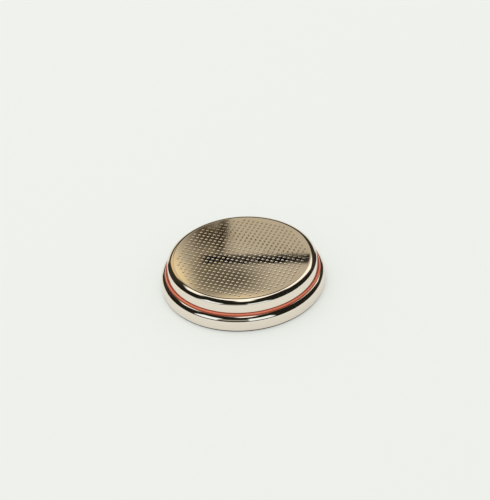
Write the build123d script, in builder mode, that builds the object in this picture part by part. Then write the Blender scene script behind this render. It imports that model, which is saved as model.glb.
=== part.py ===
from build123d import *
import math
import os

# Lithium coin cell, 24.5 mm across and 4.6 mm high, standing on its positive can with the
# negative cap upwards. Units are millimetres. The origin is the middle of the can's underside,
# and +Z is the cell's axis. Every piece is a body of revolution, so each one is a half section
# drawn on the XZ plane and turned about Z. Neighbouring pieces share the same section lines.

os.makedirs("parts", exist_ok=True)

# Driving dimensions
cell_diameter = 24.5
cell_height = 4.6
can_sheet = 0.28
cap_sheet = 0.24
foot_radius = 0.30  # outer radius where the can's floor turns up into its wall
shoulder_height = 1.53  # where the can's wall starts to roll inwards
shoulder_radius = 0.90  # outer radius of the rolled rim
lip_angle = 71.0  # how far round the rim is rolled, from the wall
gasket_wall = 0.28  # plastic between the can and the cap's skirt
bead_height = 2.84  # height at which the gasket's bead meets the cap
bead_rise = 0.12  # how far the bead bulges above its edge on the cap
gasket_inner_leg = 1.35  # height of the gasket's leg inside the skirt
skirt_foot = 0.62  # height of the skirt's lower edge, which sits in the gasket
crown_radius = 11.29  # outer radius of the cap where it leaves the gasket
crown_draft = 6.5  # slope of the crown's wall above the gasket
edge_radius = 0.28  # tight radius at the crown's edge
brow_radius = 1.30  # wide radius from the tight one to the flat top
brow_angle = 43.0  # slope at which the tight radius meets the wide one
pellet_radius = 10.5
pellet_thickness = 2.70
ring_wall = 0.20
ring_height = 1.30
ring_flange = 1.00
ring_flange_sheet = 0.15
separator_sheet = 0.22
separator_rim = 0.80
lithium_radius = 9.8

# Worked-out places
can_radius = cell_diameter / 2
can_bore = can_radius - can_sheet
foot_centre = (can_radius - foot_radius, foot_radius)
roll_centre = (can_radius - shoulder_radius, shoulder_height)
roll_bore = shoulder_radius - can_sheet
skirt_roll = roll_bore - gasket_wall
skirt_radius = can_bore - gasket_wall
skirt_bore = skirt_radius - cap_sheet
crown_bore = crown_radius - cap_sheet
draft = math.radians(crown_draft)
brow = math.radians(brow_angle)
brow_centre_height = cell_height - brow_radius
edge_reach = brow_radius - edge_radius
edge_centre_height = brow_centre_height + edge_reach * math.sin(brow)
neck_height = edge_centre_height + edge_radius * math.sin(draft)
neck_radius = crown_radius - (neck_height - bead_height) * math.tan(draft)
edge_centre = (neck_radius - edge_radius * math.cos(draft), edge_centre_height)
brow_centre = (edge_centre[0] - edge_reach * math.cos(brow), brow_centre_height)
crown_flat = brow_centre[0]
neck_bore = (
    edge_centre[0] + (edge_radius - cap_sheet) * math.cos(draft),
    edge_centre[1] + (edge_radius - cap_sheet) * math.sin(draft),
)
cap_underside = cell_height - cap_sheet
pellet_top = can_sheet + pellet_thickness
separator_top = pellet_top + separator_sheet
separator_radius = pellet_radius + separator_sheet
ring_radius = pellet_radius + ring_wall


def on_roll(radius, angle):
    """Point of the half section at an angle round the rolled rim's centre."""
    turn = math.radians(angle)
    return (roll_centre[0] + radius * math.cos(turn), roll_centre[1] + radius * math.sin(turn))


lip_outer = on_roll(shoulder_radius, lip_angle)
lip_inner = on_roll(roll_bore, lip_angle)
skirt_bore_roll = skirt_roll - cap_sheet
step_top = shoulder_height + skirt_roll  # upper face of the step from the crown out to the skirt
step_underside = shoulder_height + skirt_bore_roll
bead_foot = (crown_radius, bead_height)
bead_crest = ((crown_radius + lip_outer[0]) / 2, (bead_height + lip_outer[1]) / 2 + bead_rise)

# Positive can: a drawn steel cup whose rim is rolled inwards over the gasket
with BuildPart() as cathode_can:
    with BuildSketch(Plane.XZ):
        with BuildLine():
            Line((0, 0), (foot_centre[0], 0))
            CenterArc(foot_centre, foot_radius, -90, 90)
            Line((can_radius, foot_radius), (can_radius, shoulder_height))
            CenterArc(roll_centre, shoulder_radius, 0, lip_angle)
            Line(lip_outer, lip_inner)
            CenterArc(roll_centre, roll_bore, 0, lip_angle)
            Line((can_bore, shoulder_height), (can_bore, foot_radius))
            CenterArc(foot_centre, foot_radius - can_sheet, -90, 90)
            Line((foot_centre[0], can_sheet), (0, can_sheet))
            Line((0, can_sheet), (0, 0))
        make_face()
    revolve(axis=Axis.Z)
cathode_can.part.label = "cathode_can"
export_step(cathode_can.part, "parts/cathode_can.step")

# Negative cap: a drawn steel crown that steps out to a skirt, which the gasket holds
with BuildPart() as anode_cap:
    with BuildSketch(Plane.XZ):
        with BuildLine():
            Line((0, cell_height), (crown_flat, cell_height))
            CenterArc(brow_centre, brow_radius, brow_angle, 90 - brow_angle)
            CenterArc(edge_centre, edge_radius, crown_draft, brow_angle - crown_draft)
            Line((neck_radius, neck_height), (crown_radius, bead_height))
            Line((crown_radius, bead_height), (crown_radius, step_top))
            Line((crown_radius, step_top), (roll_centre[0], step_top))
            CenterArc(roll_centre, skirt_roll, 0, 90)
            Line((skirt_radius, shoulder_height), (skirt_radius, skirt_foot))
            Line((skirt_radius, skirt_foot), (skirt_bore, skirt_foot))
            Line((skirt_bore, skirt_foot), (skirt_bore, shoulder_height))
            CenterArc(roll_centre, skirt_bore_roll, 0, 90)
            Line((roll_centre[0], step_underside), (crown_bore, step_underside))
            Line((crown_bore, step_underside), (crown_bore, bead_height))
            Line((crown_bore, bead_height), neck_bore)
            CenterArc(edge_centre, edge_radius - cap_sheet, crown_draft, brow_angle - crown_draft)
            CenterArc(brow_centre, brow_radius - cap_sheet, brow_angle, 90 - brow_angle)
            Line((crown_flat, cap_underside), (0, cap_underside))
            Line((0, cap_underside), (0, cell_height))
        make_face()
    revolve(axis=Axis.Z)
anode_cap.part.label = "anode_cap"
export_step(anode_cap.part, "parts/anode_cap.step")

# Gasket: one moulded plastic ring that wraps the skirt, with a round bead above the rolled rim
with BuildPart() as gasket:
    with BuildSketch(Plane.XZ):
        with BuildLine():
            ThreePointArc(bead_foot, bead_crest, lip_outer)
            Line(lip_outer, lip_inner)
            CenterArc(roll_centre, roll_bore, 0, lip_angle)
            Line((can_bore, shoulder_height), (can_bore, foot_radius))
            CenterArc(foot_centre, foot_radius - can_sheet, -90, 90)
            Line((foot_centre[0], can_sheet), (skirt_bore - gasket_wall, can_sheet))
            Line((skirt_bore - gasket_wall, can_sheet), (skirt_bore - gasket_wall, gasket_inner_leg))
            Line((skirt_bore - gasket_wall, gasket_inner_leg), (skirt_bore, gasket_inner_leg))
            Line((skirt_bore, gasket_inner_leg), (skirt_bore, skirt_foot))
            Line((skirt_bore, skirt_foot), (skirt_radius, skirt_foot))
            Line((skirt_radius, skirt_foot), (skirt_radius, shoulder_height))
            CenterArc(roll_centre, skirt_roll, 0, 90)
            Line((roll_centre[0], step_top), (crown_radius, step_top))
            Line((crown_radius, step_top), bead_foot)
        make_face()
    revolve(axis=Axis.Z)
gasket.part.label = "gasket"
export_step(gasket.part, "parts/gasket.step")

# Collector ring: an L-section steel ring that holds the pellet's lower edge on the can's floor
with BuildPart() as collector_ring:
    with BuildSketch(Plane.XZ):
        with BuildLine():
            Polyline(
                (ring_radius - ring_flange, can_sheet),
                (ring_radius, can_sheet),
                (ring_radius, can_sheet + ring_height),
                (pellet_radius, can_sheet + ring_height),
                (pellet_radius, can_sheet + ring_flange_sheet),
                (ring_radius - ring_flange, can_sheet + ring_flange_sheet),
                close=True,
            )
        make_face()
    revolve(axis=Axis.Z)
collector_ring.part.label = "collector_ring"
export_step(collector_ring.part, "parts/collector_ring.step")

# Cathode pellet: pressed manganese dioxide, stepped at the bottom to sit in the ring
with BuildPart() as cathode_pellet:
    with BuildSketch(Plane.XZ):
        with BuildLine():
            Polyline(
                (0, can_sheet),
                (ring_radius - ring_flange, can_sheet),
                (ring_radius - ring_flange, can_sheet + ring_flange_sheet),
                (pellet_radius, can_sheet + ring_flange_sheet),
                (pellet_radius, pellet_top),
                (0, pellet_top),
                close=True,
            )
        make_face()
    revolve(axis=Axis.Z)
cathode_pellet.part.label = "cathode_pellet"
export_step(cathode_pellet.part, "parts/cathode_pellet.step")

# Separator: a non-woven disc laid over the pellet with its edge turned down
with BuildPart() as separator:
    with BuildSketch(Plane.XZ):
        with BuildLine():
            Polyline(
                (0, pellet_top),
                (pellet_radius, pellet_top),
                (pellet_radius, separator_top - separator_rim),
                (separator_radius, separator_top - separator_rim),
                (separator_radius, separator_top),
                (0, separator_top),
                close=True,
            )
        make_face()
    revolve(axis=Axis.Z)
separator.part.label = "separator"
export_step(separator.part, "parts/separator.step")

# Lithium disc: punched from foil and pressed against the cap's underside
with BuildPart() as lithium_disc:
    with BuildSketch(Plane.XY.offset(separator_top)):
        Circle(lithium_radius)
    extrude(amount=cap_underside - separator_top)
lithium_disc.part.label = "lithium_disc"
export_step(lithium_disc.part, "parts/lithium_disc.step")
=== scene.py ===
"""Visual model of a lithium coin cell: a crimped can, a dimpled cap, a gasket and the stack inside."""

import math

import bmesh
import bpy
from mathutils import Matrix, Vector


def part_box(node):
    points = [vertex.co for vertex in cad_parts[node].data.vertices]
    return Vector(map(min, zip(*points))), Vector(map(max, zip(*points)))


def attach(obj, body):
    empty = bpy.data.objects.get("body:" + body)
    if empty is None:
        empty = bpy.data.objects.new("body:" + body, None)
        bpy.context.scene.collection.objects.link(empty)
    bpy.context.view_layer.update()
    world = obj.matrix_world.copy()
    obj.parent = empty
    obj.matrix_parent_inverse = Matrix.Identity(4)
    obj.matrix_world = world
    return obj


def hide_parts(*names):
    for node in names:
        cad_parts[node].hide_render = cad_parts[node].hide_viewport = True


bl_info = {
    "name": "Lithium Coin Cell",
    "version": (1, 0, 0),
    "blender": (4, 5, 0),
    "location": "View3D > Sidebar > Coin Cell",
    "description": "Builds the visible pieces, materials and studio of a lithium coin cell",
    "category": "Object",
}

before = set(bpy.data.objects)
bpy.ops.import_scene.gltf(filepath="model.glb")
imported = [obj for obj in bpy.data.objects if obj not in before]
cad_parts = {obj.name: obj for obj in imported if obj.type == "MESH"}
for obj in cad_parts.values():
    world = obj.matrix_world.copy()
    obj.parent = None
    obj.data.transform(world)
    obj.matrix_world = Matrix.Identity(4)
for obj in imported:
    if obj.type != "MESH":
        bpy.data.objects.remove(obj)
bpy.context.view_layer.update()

MM = 0.001
BODY = "root"
CAN_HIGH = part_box("cathode_can")[1]
CAP_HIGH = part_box("anode_cap")[1]


def linear(hex_code):
    """Turns an sRGB hex value such as "F0E6D2" into a linear colour with an alpha of 1."""
    parts = [int(hex_code[i : i + 2], 16) / 255 for i in (0, 2, 4)]
    return (*((p / 12.92 if p <= 0.04045 else ((p + 0.055) / 1.055) ** 2.4) for p in parts), 1.0)


def length(name, description, default_mm):
    """A length property, given in millimetres and kept in metres."""
    return bpy.props.FloatProperty(
        name=name, description=description, default=default_mm * MM, unit="LENGTH", precision=5
    )


def angle(name, description, default_degrees):
    """An angle property, given in degrees and kept in radians."""
    return bpy.props.FloatProperty(
        name=name, description=description, default=math.radians(default_degrees), unit="ROTATION"
    )


def colour(name, description, hex_code):
    """A colour property whose default is an sRGB hex value."""
    return bpy.props.FloatVectorProperty(
        name=name, description=description, default=linear(hex_code), size=4, subtype="COLOR", min=0, max=1
    )


class CoinCellSizes(bpy.types.PropertyGroup):
    """Sizes of the cell's visible pieces. The outer sizes come from the frame."""

    can_radius: length("Can radius", "Outer radius of the positive can", CAN_HIGH.x / MM)
    can_sheet: length("Can sheet", "Thickness of the can's steel", 0.28)
    foot_radius: length("Foot radius", "Outer radius where the can's floor meets its wall", 0.30)
    shoulder_height: length("Shoulder height", "Height at which the can's wall starts to roll in", 1.53)
    shoulder_radius: length("Shoulder radius", "Outer radius of the can's rolled rim", 0.90)
    lip_angle: angle("Lip angle", "How far round the can's rim is rolled", 71.0)
    lip_round: length("Lip rounding", "Worn radius on the lip's outer edge", 0.10)
    gasket_wall: length("Gasket wall", "Thickness of the gasket between the can and the cap's skirt", 0.28)
    skirt_foot: length("Skirt foot", "Height of the skirt's lower edge, inside the gasket", 0.62)
    gasket_leg: length("Gasket leg", "Height of the gasket's leg inside the skirt", 1.35)
    cell_height: length("Cell height", "Height of the cap's flat top", CAP_HIGH.z / MM)
    cap_sheet: length("Cap sheet", "Thickness of the cap's steel", 0.24)
    crown_radius: length("Crown radius", "Outer radius of the cap where it leaves the gasket", 11.29)
    crown_draft: angle("Crown draft", "Slope of the cap's wall", 6.5)
    edge_radius: length("Edge radius", "Tight radius at the cap's edge", 0.28)
    brow_radius: length("Brow radius", "Wide radius between the cap's edge and its flat top", 1.3)
    brow_angle: angle("Brow angle", "Slope of the surface where the tight radius meets the wide one", 43)
    bead_height: length("Gasket bead height", "Height at which the gasket's bead meets the cap", 2.84)
    bead_rise: length("Gasket bead rise", "How far the bead bulges above its two edges", 0.12)
    dimple_pitch: length("Dimple pitch", "Distance between neighbouring dimples", 0.716)
    dimple_radius: length("Dimple radius", "Radius of one dimple", 0.21)
    dimple_depth: length("Dimple depth", "Depth of one dimple", 0.050)
    dimple_field: length("Dimple field", "Radius of the dimpled area", 9.6)
    dimple_fade: bpy.props.FloatProperty(
        name="Dimple fade", description="Depth left in the dimples on the far right of the top", default=0.4
    )
    dimple_turn: angle("Dimple turn", "Direction of the dimples' rows", -24.5)


class CoinCellColours(bpy.types.PropertyGroup):
    """Colours of the cell and its studio."""

    nickel: colour("Nickel", "Bright nickel plating on the can and the cap", "EFE5DB")
    gasket: colour("Gasket", "Moulded gasket plastic where light reaches it", "E8805F")
    # Painted shade: the gasket colour where it meets the cap and the can's lip.
    gasket_shade: colour("Gasket shade", "Moulded gasket plastic deep against the cap and the lip", "9A3F27")
    steel: colour("Steel", "Bare steel of the collector ring", "C9C7C0")
    pellet: colour("Pellet", "Pressed manganese dioxide and graphite", "2A2826")
    separator: colour("Separator", "Non-woven separator", "ECEAE2")
    lithium: colour("Lithium", "Lithium foil, dulled by air", "B9BBBF")
    floor: colour("Floor", "Studio floor", "F6F8F4")


class CoinCellView(bpy.types.PropertyGroup):
    """Where the camera stands."""

    aim_height: length("Aim height", "Height of the point on the cell's axis that the camera faces", 0.085)
    distance: length("Distance", "From the middle of the can's foot to the camera", 307.4)
    elevation: angle("Elevation", "Height of the camera above the horizon", 35.88)
    roll: angle("Roll", "How far the camera is turned about its own line of sight", -4.18)
    aim_right: length("Aim right", "How far the camera stands to its own right", 0.216)
    aim_up: length("Aim up", "How far the camera stands above its own middle line", 4.667)
    lens: bpy.props.FloatProperty(
        name="Lens", description="Focal length on a 36 mm sensor", default=147.8, unit="CAMERA"
    )


# Materials


def add_node(tree, kind, inputs=None, **settings):
    """Adds a node with its settings; an input given as another node's output is linked to it."""
    made = tree.nodes.new(kind)
    for name, value in settings.items():
        setattr(made, name, value)
    for name, value in (inputs or {}).items():
        if isinstance(value, bpy.types.NodeSocket):
            tree.links.new(value, made.inputs[name])
        else:
            made.inputs[name].default_value = value
    return made


def new_material(name):
    """An empty node material and its tree."""
    material = bpy.data.materials.new(name)
    material.use_nodes = True
    material.node_tree.nodes.clear()
    return material, material.node_tree


def finish_material(tree, shader):
    add_node(tree, "ShaderNodeOutputMaterial", {"Surface": shader})


def polished_nickel(name, tint, painted_foot_shade=0.0):
    """Bright nickel plate on drawn steel: mirror-like and slightly warm, with soft waves in what it
    mirrors, patches of rubbing, hairline scratches from handling, and, where asked, painted shade along its
    foot."""
    material, tree = new_material(name)
    place = add_node(tree, "ShaderNodeTexCoord").outputs["Object"]
    # Handling rubs the plate dull in patches about 2 mm across.
    rub = add_node(tree, "ShaderNodeTexNoise", {"Vector": place, "Scale": 0.5 / MM, "Detail": 4.0})
    rough = add_node(
        tree,
        "ShaderNodeMapRange",
        {"Value": rub.outputs["Fac"], "From Min": 0.35, "From Max": 0.75, "To Min": 0.018, "To Max": 0.055},
    )
    # Hairline scratches: noise stretched 20 times, so that its thin ridges run along one way.
    stretched = add_node(tree, "ShaderNodeMapping", {"Vector": place, "Scale": (1.0, 20.0, 1.0)})
    hair = add_node(
        tree, "ShaderNodeTexNoise", {"Vector": stretched.outputs[0], "Scale": 0.25 / MM, "Detail": 2.0}
    )
    ridge = add_node(
        tree,
        "ShaderNodeMapRange",
        {"Value": hair.outputs["Fac"], "From Min": 0.66, "From Max": 0.72, "To Min": 0.0, "To Max": 0.05},
    )
    total_rough = add_node(tree, "ShaderNodeMath", {0: rough.outputs["Result"], 1: ridge.outputs["Result"]})
    # Drawing leaves waves about 3 mm long and a few tenths of a micrometre high.
    wave = add_node(tree, "ShaderNodeTexNoise", {"Vector": place, "Scale": 0.33 / MM, "Detail": 1.0})
    bump = add_node(
        tree, "ShaderNodeBump", {"Height": wave.outputs["Fac"], "Strength": 1.0, "Distance": 0.002 * MM}
    )
    # Plating is a shade warmer where it is thin.
    warm = [c * k for c, k in zip(tint[:3], (1.0, 0.97, 0.92))] + [1.0]
    plate = add_node(
        tree, "ShaderNodeMix", {"Factor": rub.outputs["Fac"], 6: tuple(tint), 7: warm}, data_type="RGBA"
    )
    colour_out = plate.outputs[2]
    if painted_foot_shade:
        # Painted shade: near-black colour up the can's foot to the given height, standing in for the floor's
        # contact shadow mirrored there; the rub noise makes its top edge ragged.
        height = add_node(tree, "ShaderNodeSeparateXYZ", {"Vector": place}).outputs["Z"]
        ragged = add_node(
            tree, "ShaderNodeMath", {0: rub.outputs["Fac"], 1: 0.06 * MM, 2: height}, operation="MULTIPLY_ADD"
        )
        foot_shade_mask = add_node(
            tree,
            "ShaderNodeMapRange",
            {
                "Value": ragged.outputs[0],
                "From Min": painted_foot_shade,
                "From Max": painted_foot_shade * 1.2,
                "To Min": 1.0,
                "To Max": 0.0,
            },
        )
        # The flat underside is left out: the painted foot shade starts a little inside the can's wall.
        level = add_node(
            tree, "ShaderNodeVectorMath", {0: place, 1: (1.0, 1.0, 0.0)}, operation="MULTIPLY"
        )
        radius = add_node(tree, "ShaderNodeVectorMath", {0: level.outputs[0]}, operation="LENGTH")
        ring = add_node(
            tree,
            "ShaderNodeMapRange",
            {
                "Value": radius.outputs["Value"],
                "From Min": CAN_HIGH.x - 0.30 * MM,
                "From Max": CAN_HIGH.x - 0.15 * MM,
            },
        )
        share = add_node(
            tree,
            "ShaderNodeMath",
            {0: foot_shade_mask.outputs["Result"], 1: ring.outputs["Result"]},
            operation="MULTIPLY",
        )
        # Mixes in the painted foot shade, near black.
        colour_out = add_node(
            tree,
            "ShaderNodeMix",
            {"Factor": share.outputs[0], 6: colour_out, 7: linear("0C0A07")},
            data_type="RGBA",
        ).outputs[2]
    shader = add_node(
        tree,
        "ShaderNodeBsdfPrincipled",
        {
            "Base Color": colour_out,
            "Metallic": 1.0,
            "Roughness": total_rough.outputs[0],
            "Normal": bump.outputs["Normal"],
        },
    )
    finish_material(tree, shader.outputs["BSDF"])
    return material


def moulded_gasket(name, lit, shade, inner, outer):
    """Pigmented polypropylene, injection moulded: soft sheen, faint flow marks, and painted shade
    where it dives against the cap and where it meets the can's lip."""
    material, tree = new_material(name)
    place = add_node(tree, "ShaderNodeTexCoord").outputs["Object"]
    level = add_node(
        tree, "ShaderNodeVectorMath", {0: place, 1: (1.0, 1.0, 0.0)}, operation="MULTIPLY"
    )
    radius = add_node(tree, "ShaderNodeVectorMath", {0: level.outputs[0]}, operation="LENGTH")
    share = add_node(
        tree,
        "ShaderNodeMapRange",
        {"Value": radius.outputs["Value"], "From Min": inner, "From Max": outer},
    )
    # Painted shade: the shade colour against the cap's wall and again at the lip, the lit colour on the bead
    # between.
    ramp = add_node(tree, "ShaderNodeValToRGB", {"Fac": share.outputs["Result"]})
    stops = ramp.color_ramp.elements
    stops[0].position, stops[0].color = 0.34, shade
    stops[1].position, stops[1].color = 0.46, lit
    stops.new(0.74).color = lit
    stops.new(0.88).color = shade
    # Flow marks follow the ring and are about 0.4 mm apart.
    flow = add_node(tree, "ShaderNodeTexNoise", {"Vector": place, "Scale": 2.5 / MM, "Detail": 3.0})
    rough = add_node(
        tree,
        "ShaderNodeMapRange",
        {"Value": flow.outputs["Fac"], "To Min": 0.26, "To Max": 0.42},
    )
    bump = add_node(
        tree, "ShaderNodeBump", {"Height": flow.outputs["Fac"], "Strength": 1.0, "Distance": 0.006 * MM}
    )
    shader = add_node(
        tree,
        "ShaderNodeBsdfPrincipled",
        {
            "Base Color": ramp.outputs["Color"],
            "Roughness": rough.outputs["Result"],
            "IOR": 1.49,
            "Normal": bump.outputs["Normal"],
        },
    )
    finish_material(tree, shader.outputs["BSDF"])
    return material


def stack_layer(name, tint, grain, relief, roughness, metallic=0.0, shade=0.8):
    """A layer of the stack inside: its colour mottled, and its surface raised, by grain of a real size.
    It gives pressed powder, felted fibre, rolled foil or bare sheet steel, by grain and relief."""
    material, tree = new_material(name)
    place = add_node(tree, "ShaderNodeTexCoord").outputs["Object"]
    speck = add_node(tree, "ShaderNodeTexNoise", {"Vector": place, "Scale": 1.0 / grain, "Detail": 5.0})
    deep = [c * shade for c in tint[:3]] + [1.0]
    mottled = add_node(
        tree, "ShaderNodeMix", {"Factor": speck.outputs["Fac"], 6: deep, 7: tuple(tint)}, data_type="RGBA"
    )
    bump = add_node(
        tree, "ShaderNodeBump", {"Height": speck.outputs["Fac"], "Strength": 1.0, "Distance": relief}
    )
    rough = add_node(
        tree,
        "ShaderNodeMapRange",
        {"Value": speck.outputs["Fac"], "To Min": roughness * 0.8, "To Max": roughness * 1.2},
    )
    shader = add_node(
        tree,
        "ShaderNodeBsdfPrincipled",
        {
            "Base Color": mottled.outputs[2],
            "Metallic": metallic,
            "Roughness": rough.outputs["Result"],
            "Normal": bump.outputs["Normal"],
        },
    )
    finish_material(tree, shader.outputs["BSDF"])
    return material


def painted_floor(name, tint):
    """Matt translucent board, lit from below as well, so that the cell's shadow on it stays faint."""
    material, tree = new_material(name)
    shader = add_node(
        tree,
        "ShaderNodeBsdfPrincipled",
        {
            "Base Color": [c * 0.5 for c in tint[:3]] + [1.0],
            "Roughness": 0.9,
            "Specular IOR Level": 0.1,
            "Emission Color": tint,
            "Emission Strength": 0.46,
        },
    )
    finish_material(tree, shader.outputs["BSDF"])
    return material


# Modelling


def arc(bm, start, centre, turn, steps):
    """Spins a vertex in the XZ plane about a centre (x, z), and returns the last vertex."""
    pivot = Vector((centre[0], 0, centre[1]))
    spun = bmesh.ops.spin(
        bm, geom=[start], cent=pivot, axis=(0, -1, 0), angle=turn, steps=steps, use_merge=False
    )
    return next(v for v in spun["geom_last"] if isinstance(v, bmesh.types.BMVert))


def step_to(bm, start, point):
    """Draws a straight edge from a vertex to a point (x, z) and returns the new vertex."""
    made = bm.verts.new((point[0], 0, point[1]))
    bm.edges.new((start, made))
    return made


def full_turn(bm, steps):
    """Turns everything in the mesh once round the cell's axis, closes the seam and the poles."""
    bmesh.ops.spin(
        bm,
        geom=bm.verts[:] + bm.edges[:],
        cent=(0, 0, 0),
        axis=(0, 0, 1),
        angle=math.tau,
        steps=steps,
        use_merge=True,
    )
    bmesh.ops.remove_doubles(bm, verts=bm.verts, dist=1e-7)
    bmesh.ops.recalc_face_normals(bm, faces=bm.faces)


def finish_piece(context, bm, name, material, node):
    """Makes an object of the mesh that stands for a CAD node and rides on the cell's body."""
    mesh = bpy.data.meshes.new(name)
    bm.to_mesh(mesh)
    bm.free()
    mesh.materials.append(material)
    piece = bpy.data.objects.new(name, mesh)
    context.collection.objects.link(piece)
    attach(piece, BODY)
    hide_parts(node)
    return piece


def smooth(faces, on=True):
    for face in faces:
        face.smooth = on


TURN_STEPS = 256


class COINCELL_OT_can(bpy.types.Operator):
    """Builds the positive can with its rolled rim"""

    bl_idname = "coincell.can"
    bl_label = "Positive Can"

    def execute(self, context):
        size = context.scene.coin_cell_sizes
        bore = size.can_radius - size.can_sheet
        foot = (size.can_radius - size.foot_radius, size.foot_radius)
        roll = (size.can_radius - size.shoulder_radius, size.shoulder_height)
        bm = bmesh.new()
        point = bm.verts.new((0, 0, 0))
        point = step_to(bm, point, (foot[0] - 0.1 * MM, 0))
        point = step_to(bm, point, (foot[0], 0))
        point = arc(bm, point, foot, math.radians(90), 16)
        point = step_to(bm, point, (size.can_radius, size.shoulder_height))
        point = arc(bm, point, roll, size.lip_angle, 32)
        lip = Vector((point.co.x - roll[0], 0, point.co.z - roll[1])).normalized()
        worn = size.lip_round
        point = arc(bm, point, tuple(point.co[i] - lip[i] * worn for i in (0, 2)), math.radians(90), 8)
        inner = size.shoulder_radius - size.can_sheet
        edge = (lip.x * inner - lip.z * worn, lip.z * inner + lip.x * worn)
        point = step_to(bm, point, (roll[0] + edge[0], roll[1] + edge[1]))
        point = step_to(bm, point, (roll[0] + lip.x * inner, roll[1] + lip.z * inner))
        point = arc(bm, point, roll, -size.lip_angle, 16)
        point = step_to(bm, point, (bore, size.foot_radius))
        point = arc(bm, point, foot, math.radians(-90), 6)
        step_to(bm, point, (0, size.can_sheet))
        full_turn(bm, TURN_STEPS)
        smooth(bm.faces)
        # The can gets a painted shade along its foot, 0.30 mm high.
        material = polished_nickel("nickel_plated_can", context.scene.coin_cell_colours.nickel, 0.30 * MM)
        finish_piece(context, bm, "positive_can", material, "cathode_can")
        return {"FINISHED"}


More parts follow.
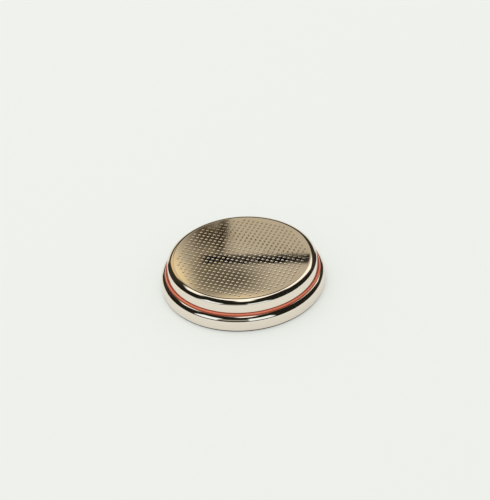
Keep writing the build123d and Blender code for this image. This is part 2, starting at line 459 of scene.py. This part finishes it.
class COINCELL_OT_cap(bpy.types.Operator):
    """Builds the negative cap with its dimpled top"""

    bl_idname = "coincell.cap"
    bl_label = "Negative Cap"

    def execute(self, context):
        size = context.scene.coin_cell_sizes
        bm = bmesh.new()
        rim = self.add_crown(bm, size)
        self.add_dimples(bm, size, rim)
        material = polished_nickel("nickel_plated_cap", context.scene.coin_cell_colours.nickel)
        finish_piece(context, bm, "negative_cap", material, "anode_cap")
        return {"FINISHED"}

    def add_crown(self, bm, size):
        """The crown's wall and rounded edge, outside and inside, from the skirt up to the flat top."""
        edge_turn = size.brow_angle - size.crown_draft
        wall_top = (
            size.cell_height
            - size.brow_radius * (1 - math.sin(size.brow_angle))
            - size.edge_radius * (math.sin(size.brow_angle) - math.sin(size.crown_draft))
        )
        neck = size.crown_radius - (wall_top - size.bead_height) * math.tan(size.crown_draft)
        edge_centre = (
            neck - size.edge_radius * math.cos(size.crown_draft),
            wall_top - size.edge_radius * math.sin(size.crown_draft),
        )
        reach = size.brow_radius - size.edge_radius
        brow_centre = (
            edge_centre[0] - reach * math.cos(size.brow_angle),
            edge_centre[1] - reach * math.sin(size.brow_angle),
        )
        underside = size.cell_height - size.cap_sheet
        roll = (size.can_radius - size.shoulder_radius, size.shoulder_height)
        skirt_roll = size.shoulder_radius - size.can_sheet - size.gasket_wall
        bore_roll = skirt_roll - size.cap_sheet
        brow_turn = math.radians(90) - size.brow_angle
        # Inside, from the axis out over the lithium and down to the skirt's foot
        point = bm.verts.new((0, 0, underside))
        point = step_to(bm, point, (brow_centre[0], underside))
        point = arc(bm, point, brow_centre, -brow_turn, 12)
        point = arc(bm, point, edge_centre, -edge_turn, 4)
        point = step_to(bm, point, (size.crown_radius - size.cap_sheet, size.bead_height))
        point = step_to(bm, point, (size.crown_radius - size.cap_sheet, roll[1] + bore_roll))
        point = step_to(bm, point, (roll[0], roll[1] + bore_roll))
        point = arc(bm, point, roll, math.radians(-90), 6)
        point = step_to(bm, point, (roll[0] + bore_roll, size.skirt_foot))
        # Outside, from the skirt's foot up to the flat top
        point = step_to(bm, point, (roll[0] + skirt_roll, size.skirt_foot))
        point = step_to(bm, point, (roll[0] + skirt_roll, roll[1]))
        point = arc(bm, point, roll, math.radians(90), 8)
        point = step_to(bm, point, (size.crown_radius, roll[1] + skirt_roll))
        point = step_to(bm, point, (size.crown_radius, size.bead_height - 0.1 * MM))
        point = step_to(bm, point, (size.crown_radius, size.bead_height))
        point = step_to(bm, point, (neck, wall_top))
        point = arc(bm, point, edge_centre, edge_turn, 12)
        point = arc(bm, point, brow_centre, brow_turn, 32)
        rim = point.co.x
        step_to(bm, point, (rim - 0.05 * MM, size.cell_height))
        full_turn(bm, TURN_STEPS)
        smooth(bm.faces)
        return rim - 0.05 * MM

    def add_dimples(self, bm, size, rim):
        """The flat top: a lattice of octagonal dimples inside a plain margin."""
        count = 2 * math.ceil(size.dimple_field / size.dimple_pitch)
        plate = bmesh.new()
        bmesh.ops.create_grid(
            plate, x_segments=count, y_segments=count, size=count * size.dimple_pitch / 2
        )
        far = [f for f in plate.faces if f.calc_center_median().length > size.dimple_field]
        bmesh.ops.delete(plate, geom=far, context="FACES")
        cells = plate.faces[:]
        gap = size.dimple_pitch / 2 - size.dimple_radius
        bmesh.ops.inset_individual(plate, faces=cells, thickness=gap, use_even_offset=True)
        corners = {v for f in cells for v in f.verts}
        cut = size.dimple_radius * 2 / (2 + math.sqrt(2))
        made = bmesh.ops.bevel(
            plate,
            geom=list(corners),
            offset=cut,
            offset_type="OFFSET",
            affect="VERTICES",
            segments=1,
            profile=0.5,
            material=-1,
        )
        pits = [f for f in plate.faces if len(f.verts) == 8]
        smooth(plate.faces, False)
        ring = bmesh.ops.inset_individual(
            plate,
            faces=pits,
            thickness=size.dimple_radius * 0.35,
            depth=-size.dimple_depth * 0.55,
            use_even_offset=True,
        )
        tips = bmesh.ops.poke(plate, faces=pits, offset=-size.dimple_depth * 0.45)
        smooth(ring["faces"])
        smooth(tips["faces"])
        bmesh.ops.rotate(plate, verts=plate.verts, matrix=Matrix.Rotation(size.dimple_turn, 3, "Z"))
        self.fade_dimples(plate, size)
        bmesh.ops.translate(plate, verts=plate.verts, vec=(0, 0, size.cell_height))
        scratch = bpy.data.meshes.new("dimple_plate")
        plate.to_mesh(scratch)
        plate.free()
        bm.from_mesh(scratch)
        bpy.data.meshes.remove(scratch)
        border = [e for e in bm.edges if e.is_boundary and abs(e.verts[0].co.z - size.cell_height) < 1e-8]
        border = [e for e in border if abs(e.verts[1].co.z - size.cell_height) < 1e-8]
        filled = bmesh.ops.triangle_fill(bm, edges=border, use_beauty=True, normal=(0, 0, 1))
        flat = [f for f in filled["geom"] if isinstance(f, bmesh.types.BMFace)]
        smooth(flat, False)
        bmesh.ops.recalc_face_normals(bm, faces=bm.faces)


    def fade_dimples(self, plate, size):
        """Makes the dimples shallower towards the far right, where the press bit less."""
        for vert in plate.verts:
            along = (vert.co.x * 0.6 + vert.co.y * 0.8) / size.dimple_field
            share = min(max((along - 0.15) / 0.55, 0), 1)
            vert.co.z *= 1 + (size.dimple_fade - 1) * share * share * (3 - 2 * share)


class COINCELL_OT_gasket(bpy.types.Operator):
    """Builds the gasket's bead between the can's lip and the cap"""

    bl_idname = "coincell.gasket"
    bl_label = "Gasket"

    def execute(self, context):
        size = context.scene.coin_cell_sizes
        bm = bmesh.new()
        lip_radius = size.can_radius - size.shoulder_radius + size.shoulder_radius * math.cos(size.lip_angle)
        lip_height = size.shoulder_height + size.shoulder_radius * math.sin(size.lip_angle)
        groove = size.bead_height
        bore = size.can_radius - size.can_sheet
        skirt = bore - size.gasket_wall
        foot = (size.can_radius - size.foot_radius, size.foot_radius)
        roll = (size.can_radius - size.shoulder_radius, size.shoulder_height)
        inner = size.shoulder_radius - size.can_sheet
        start = bm.verts.new((size.crown_radius, 0, groove))
        point = start
        half = (lip_radius - size.crown_radius) / 2
        for step in range(1, 13):
            turn = math.pi * step / 12
            across = size.crown_radius + half * (1 - math.cos(turn))
            base = groove + (lip_height - groove) * step / 12
            point = step_to(bm, point, (across, base + size.bead_rise * math.sin(turn)))
        lip = (math.cos(size.lip_angle), math.sin(size.lip_angle))
        point = step_to(bm, point, (roll[0] + lip[0] * inner, roll[1] + lip[1] * inner))
        point = arc(bm, point, roll, -size.lip_angle, 16)
        point = step_to(bm, point, (bore, size.foot_radius))
        point = arc(bm, point, foot, math.radians(-90), 6)
        leg = skirt - size.cap_sheet - size.gasket_wall
        point = step_to(bm, point, (leg, size.can_sheet))
        point = step_to(bm, point, (leg, size.gasket_leg))
        point = step_to(bm, point, (leg + size.gasket_wall, size.gasket_leg))
        point = step_to(bm, point, (leg + size.gasket_wall, size.skirt_foot))
        point = step_to(bm, point, (skirt, size.skirt_foot))
        point = step_to(bm, point, (skirt, size.shoulder_height))
        point = arc(bm, point, roll, math.radians(90), 8)
        point = step_to(bm, point, (size.crown_radius, point.co.z))
        bm.edges.new((point, start))
        full_turn(bm, TURN_STEPS)
        smooth(bm.faces)
        colours = context.scene.coin_cell_colours
        material = moulded_gasket(
            "moulded_polypropylene", colours.gasket, colours.gasket_shade, size.crown_radius, lip_radius
        )
        finish_piece(context, bm, "gasket_ring", material, "gasket")
        return {"FINISHED"}


class COINCELL_OT_stack(bpy.types.Operator):
    """Finishes the stack inside the cell: ring, pellet, separator and lithium"""

    bl_idname = "coincell.stack"
    bl_label = "Inner Stack"

    def execute(self, context):
        colours = context.scene.coin_cell_colours
        steel = stack_layer("bare_steel_sheet", colours.steel, 0.3 * MM, 0.002 * MM, 0.3, 1.0, 0.9)
        powder = stack_layer("pressed_powder", colours.pellet, 0.08 * MM, 0.02 * MM, 0.85, 0.0, 0.5)
        felt = stack_layer("felted_fibre", colours.separator, 0.12 * MM, 0.03 * MM, 0.9)
        foil = stack_layer("lithium_foil", colours.lithium, 0.5 * MM, 0.01 * MM, 0.45, 1.0, 0.75)
        layers = {
            "collector_ring": steel,
            "cathode_pellet": powder,
            "separator": felt,
            "lithium_disc": foil,
        }
        for node, material in layers.items():
            if node not in bpy.data.objects:
                raise RuntimeError(f"{node} isn't in the frame")
            for slot in bpy.data.objects[node].material_slots:
                slot.material = material
        return {"FINISHED"}


# Stage

# What the polished metal sees around it: side (front is the camera's side), azimuths and
# elevations in degrees, softness in degrees, colour and strength.
ROOM = (
    ("front", (-150, 150), (-90, 84), 5, "1E1E18", 1.1),
    ("back", (-60, 60), (-90, 56), 8, "3A362C", 0.8),
    ("back", (-14, 12), (33, 42), 3, "D8CDB4", 1.0),
    ("back", (-27, -12), (24, 42), 4, "E8CE98", 1.0),
    ("back", (14, 46), (34, 60), 4, "FFFDF2", 1.2),
    ("back", (-60, -20), (48, 61), 5, "FFFDF2", 1.2),
    ("back", (-34, 34), (-90, 9), 6, "F2F5F0", 1.0),
    ("front", (-70, -38), (14, 50), 5, "E6F2F5", 1.3),
    ("front", (3, 38), (14, 50), 5, "E6F2F5", 1.3),
    ("front", (-38, 3), (22, 40), 6, "A8A89E", 1.0),
)


def build_world(context):
    """Even pale light, with a darker room that only reflections see."""
    world = bpy.data.worlds.new("studio_world")
    world.use_nodes = True
    context.scene.world = world
    tree = world.node_tree
    tree.nodes.clear()
    way = add_node(tree, "ShaderNodeTexCoord").outputs["Generated"]
    parts = add_node(tree, "ShaderNodeSeparateXYZ", {"Vector": way}).outputs
    rise = add_node(tree, "ShaderNodeMath", {0: parts["Z"]}, operation="ARCSINE").outputs["Value"]
    rise = add_node(tree, "ShaderNodeMath", {0: rise}, operation="DEGREES").outputs["Value"]
    turns = {}
    for side, sign in (("front", -1.0), ("back", 1.0)):
        ahead = add_node(tree, "ShaderNodeMath", {0: parts["Y"], 1: sign}, operation="MULTIPLY")
        turn = add_node(
            tree, "ShaderNodeMath", {0: parts["X"], 1: ahead.outputs["Value"]}, operation="ARCTAN2"
        )
        turns[side] = add_node(
            tree, "ShaderNodeMath", {0: turn.outputs["Value"]}, operation="DEGREES"
        ).outputs["Value"]

    def window(value, low, high, soft):
        """1 between low and high, falling smoothly to 0 outside."""
        up = add_node(
            tree,
            "ShaderNodeMapRange",
            {"Value": value, "From Min": low - soft / 2, "From Max": low + soft / 2},
            interpolation_type="SMOOTHSTEP",
        )
        down = add_node(
            tree,
            "ShaderNodeMapRange",
            {
                "Value": value,
                "From Min": high - soft / 2,
                "From Max": high + soft / 2,
                "To Min": 1.0,
                "To Max": 0.0,
            },
            interpolation_type="SMOOTHSTEP",
        )
        return add_node(
            tree, "ShaderNodeMath", {0: up.outputs["Result"], 1: down.outputs["Result"]}, operation="MULTIPLY"
        ).outputs["Value"]

    seen = [c * 1.3 for c in linear("FFFDF2")[:3]] + [1.0]
    for side, azimuths, elevations, soft, hex_code, strength in ROOM:
        across = window(turns[side], *azimuths, soft)
        upward = window(rise, *elevations, soft)
        share = add_node(tree, "ShaderNodeMath", {0: across, 1: upward}, operation="MULTIPLY")
        tint = [c * strength for c in linear(hex_code)[:3]] + [1.0]
        seen = add_node(
            tree,
            "ShaderNodeMix",
            {"Factor": share.outputs["Value"], 6: seen, 7: tint},
            data_type="RGBA",
        ).outputs[2]
    light_path = add_node(tree, "ShaderNodeLightPath").outputs
    # Only what the camera sees mirrored gets the room, so that light bounced onto the floor stays plain.
    unbounced = add_node(
        tree, "ShaderNodeMath", {0: light_path["Diffuse Depth"], 1: 0.5}, operation="LESS_THAN"
    )
    first_mirror = add_node(
        tree,
        "ShaderNodeMath",
        {0: light_path["Is Glossy Ray"], 1: unbounced.outputs[0]},
        operation="MULTIPLY",
    )
    plain = add_node(tree, "ShaderNodeBackground", {"Color": linear("F4F7F2"), "Strength": 0.93})
    pale = add_node(tree, "ShaderNodeBackground", {"Color": linear("EEF3EC"), "Strength": 1.0})
    room = add_node(tree, "ShaderNodeBackground", {"Color": seen, "Strength": 1.0})
    mixed = add_node(
        tree,
        "ShaderNodeMixShader",
        {0: light_path["Is Camera Ray"], 1: plain.outputs[0], 2: pale.outputs[0]},
    )
    mixed = add_node(
        tree,
        "ShaderNodeMixShader",
        {0: first_mirror.outputs[0], 1: mixed.outputs[0], 2: room.outputs[0]},
    )
    add_node(tree, "ShaderNodeOutputWorld", {"Surface": mixed.outputs[0]})


# Small cards that only the cap's top mirrors: name, place on the sheet across and up in
# millimetres, width, height, turn in degrees, edge softness as a share of the size, colour.
CARDS = (
    ("sheet", (0, 0), (60, 40), 0, 0.1, "C1B8A2"),
    ("haze_side", (-7.6, 2.4), (17, 20), 0, 0.5, "7F765E"),
    ("warm_side", (-14.6, 3), (8, 20), -24, 0.5, "F5E3B4"),
    ("brown_side", (-7.4, -4.9), (14, 12), 10, 0.45, "473D2B"),
    ("brown_post", (-4.3, -4.4), (3.4, 13), 14, 0.4, "372F22"),
    ("olive_side", (-3.0, 5.0), (22, 11), 6, 0.45, "5E5846"),
    ("warm_foot", (-1, 9.8), (24, 4), 0, 0.5, "F5E3BC"),
    ("dark_bar", (3.2, 1.2), (28, 2.3), 3.6, 0.12, "090C14"),
)
CARD_REACH = 0.15


def card_finish(name, hex_code, soft):
    """Plain card seen only in reflections, fading out towards its edges."""
    material, tree = new_material(name)
    place = add_node(tree, "ShaderNodeTexCoord").outputs["Generated"]
    parts = add_node(tree, "ShaderNodeSeparateXYZ", {"Vector": place}).outputs
    shares = []
    for side in ("X", "Y"):
        centred = add_node(tree, "ShaderNodeMath", {0: parts[side], 1: 0.5}, operation="SUBTRACT")
        away = add_node(tree, "ShaderNodeMath", {0: centred.outputs[0]}, operation="ABSOLUTE")
        shares.append(
            add_node(
                tree,
                "ShaderNodeMapRange",
                {
                    "Value": away.outputs[0],
                    "From Min": 0.5 - soft,
                    "From Max": 0.5,
                    "To Min": 1.0,
                    "To Max": 0.0,
                },
                interpolation_type="SMOOTHSTEP",
            ).outputs["Result"]
        )
    share = add_node(tree, "ShaderNodeMath", {0: shares[0], 1: shares[1]}, operation="MULTIPLY")
    glow = add_node(tree, "ShaderNodeEmission", {"Color": linear(hex_code), "Strength": 1.0})
    clear = add_node(tree, "ShaderNodeBsdfTransparent")
    mixed = add_node(
        tree, "ShaderNodeMixShader", {0: share.outputs[0], 1: clear.outputs[0], 2: glow.outputs[0]}
    )
    finish_material(tree, mixed.outputs[0])
    material.cycles.emission_sampling = "NONE"
    return material


def build_cards(context):
    """Hangs the cards where the camera's line of sight bounces off the cap's top."""
    view = context.scene.coin_cell_view
    ahead = Vector((0, math.cos(view.elevation), math.sin(view.elevation)))
    upward = Vector((0, -math.sin(view.elevation), math.cos(view.elevation)))
    across = Vector((1, 0, 0))
    middle = ahead * CARD_REACH + Vector((0, 0, CAP_HIGH.z))
    for order, (name, place, extent, turn, soft, hex_code) in enumerate(CARDS):
        bm = bmesh.new()
        bmesh.ops.create_grid(bm, x_segments=1, y_segments=1, size=0.5 * MM)
        mesh = bpy.data.meshes.new(name)
        bm.to_mesh(mesh)
        bm.free()
        mesh.materials.append(card_finish(name, hex_code, soft))
        card = bpy.data.objects.new(name, mesh)
        where = middle + (across * place[0] + upward * place[1]) * MM - ahead * order * MM
        lean = Matrix((across, upward, -ahead)).transposed().to_4x4()
        spun = Matrix.Rotation(math.radians(turn), 4, "Z")
        card.matrix_world = Matrix.Translation(where) @ lean @ spun @ Matrix.Diagonal((*extent, 1, 1))
        for kind in ("camera", "diffuse", "transmission", "volume_scatter", "shadow"):
            setattr(card, f"visible_{kind}", False)
        context.collection.objects.link(card)


class COINCELL_OT_stage(bpy.types.Operator):
    """Builds the floor, the lamps, the world and the camera"""

    bl_idname = "coincell.stage"
    bl_label = "Studio"

    def execute(self, context):
        bm = bmesh.new()
        bmesh.ops.create_circle(bm, cap_ends=True, segments=64, radius=2.0)
        mesh = bpy.data.meshes.new("studio_floor")
        bm.to_mesh(mesh)
        bm.free()
        mesh.materials.append(painted_floor("matt_board", context.scene.coin_cell_colours.floor))
        floor = bpy.data.objects.new("studio_floor", mesh)
        context.collection.objects.link(floor)
        build_world(context)
        build_cards(context)
        lamp = bpy.data.lights.new("soft_box", "AREA")
        lamp.shape = "DISK"
        lamp.size = 0.5
        lamp.energy = 0.7
        soft_box = bpy.data.objects.new("soft_box", lamp)
        soft_box.location = (-0.25, 0.3, 0.6)
        soft_box.rotation_mode = "QUATERNION"
        soft_box.rotation_quaternion = (-soft_box.location).to_track_quat("-Z", "Y")
        soft_box.visible_glossy = False
        context.collection.objects.link(soft_box)
        self.add_camera(context)
        context.scene.view_settings.view_transform = "Standard"
        return {"FINISHED"}

    def add_camera(self, context):
        """The camera looks down on the cell from the front, turned a little about its line of sight."""
        view = context.scene.coin_cell_view
        back = Vector((0, -math.cos(view.elevation), math.sin(view.elevation)))
        level_up = Vector((0, math.sin(view.elevation), math.cos(view.elevation)))
        level_right = Vector((1, 0, 0))
        right = level_right * math.cos(view.roll) + level_up * math.sin(view.roll)
        up = level_up * math.cos(view.roll) - level_right * math.sin(view.roll)
        data = bpy.data.cameras.new("camera")
        data.lens = view.lens
        data.sensor_width = 36
        data.clip_start = 0.01
        data.clip_end = 10
        camera = bpy.data.objects.new("camera", data)
        turn = Matrix((right, up, back)).transposed().to_4x4()
        place = Vector((0, 0, view.aim_height)) + back * view.distance
        place += right * view.aim_right + up * view.aim_up
        camera.matrix_world = Matrix.Translation(place) @ turn
        context.collection.objects.link(camera)
        context.scene.camera = camera


class COINCELL_PT_sidebar(bpy.types.Panel):
    """Lists the cell's sizes, colours and builders"""

    bl_idname = "COINCELL_PT_sidebar"
    bl_label = "Coin Cell"
    bl_space_type = "VIEW_3D"
    bl_region_type = "UI"
    bl_category = "Coin Cell"

    def draw(self, context):
        for operator in OPERATORS:
            self.layout.operator(operator.bl_idname)
        for group in (getattr(context.scene, name) for name in GROUPS):
            box = self.layout.box()
            for name in group.__annotations__:
                box.prop(group, name)


OPERATORS = (COINCELL_OT_can, COINCELL_OT_cap, COINCELL_OT_gasket, COINCELL_OT_stack, COINCELL_OT_stage)
GROUPS = {
    "coin_cell_sizes": CoinCellSizes,
    "coin_cell_colours": CoinCellColours,
    "coin_cell_view": CoinCellView,
}


def register():
    for group in GROUPS.values():
        bpy.utils.register_class(group)
    for name, group in GROUPS.items():
        setattr(bpy.types.Scene, name, bpy.props.PointerProperty(type=group))
    for operator in OPERATORS:
        bpy.utils.register_class(operator)
    bpy.utils.register_class(COINCELL_PT_sidebar)


def unregister():
    bpy.utils.unregister_class(COINCELL_PT_sidebar)
    for operator in reversed(OPERATORS):
        bpy.utils.unregister_class(operator)
    for name in GROUPS:
        delattr(bpy.types.Scene, name)
    for group in reversed(GROUPS.values()):
        bpy.utils.unregister_class(group)


def main():
    register()
    bpy.ops.coincell.can()
    bpy.ops.coincell.cap()
    bpy.ops.coincell.gasket()
    bpy.ops.coincell.stack()
    bpy.ops.coincell.stage()


if __name__ == "__main__":
    main()
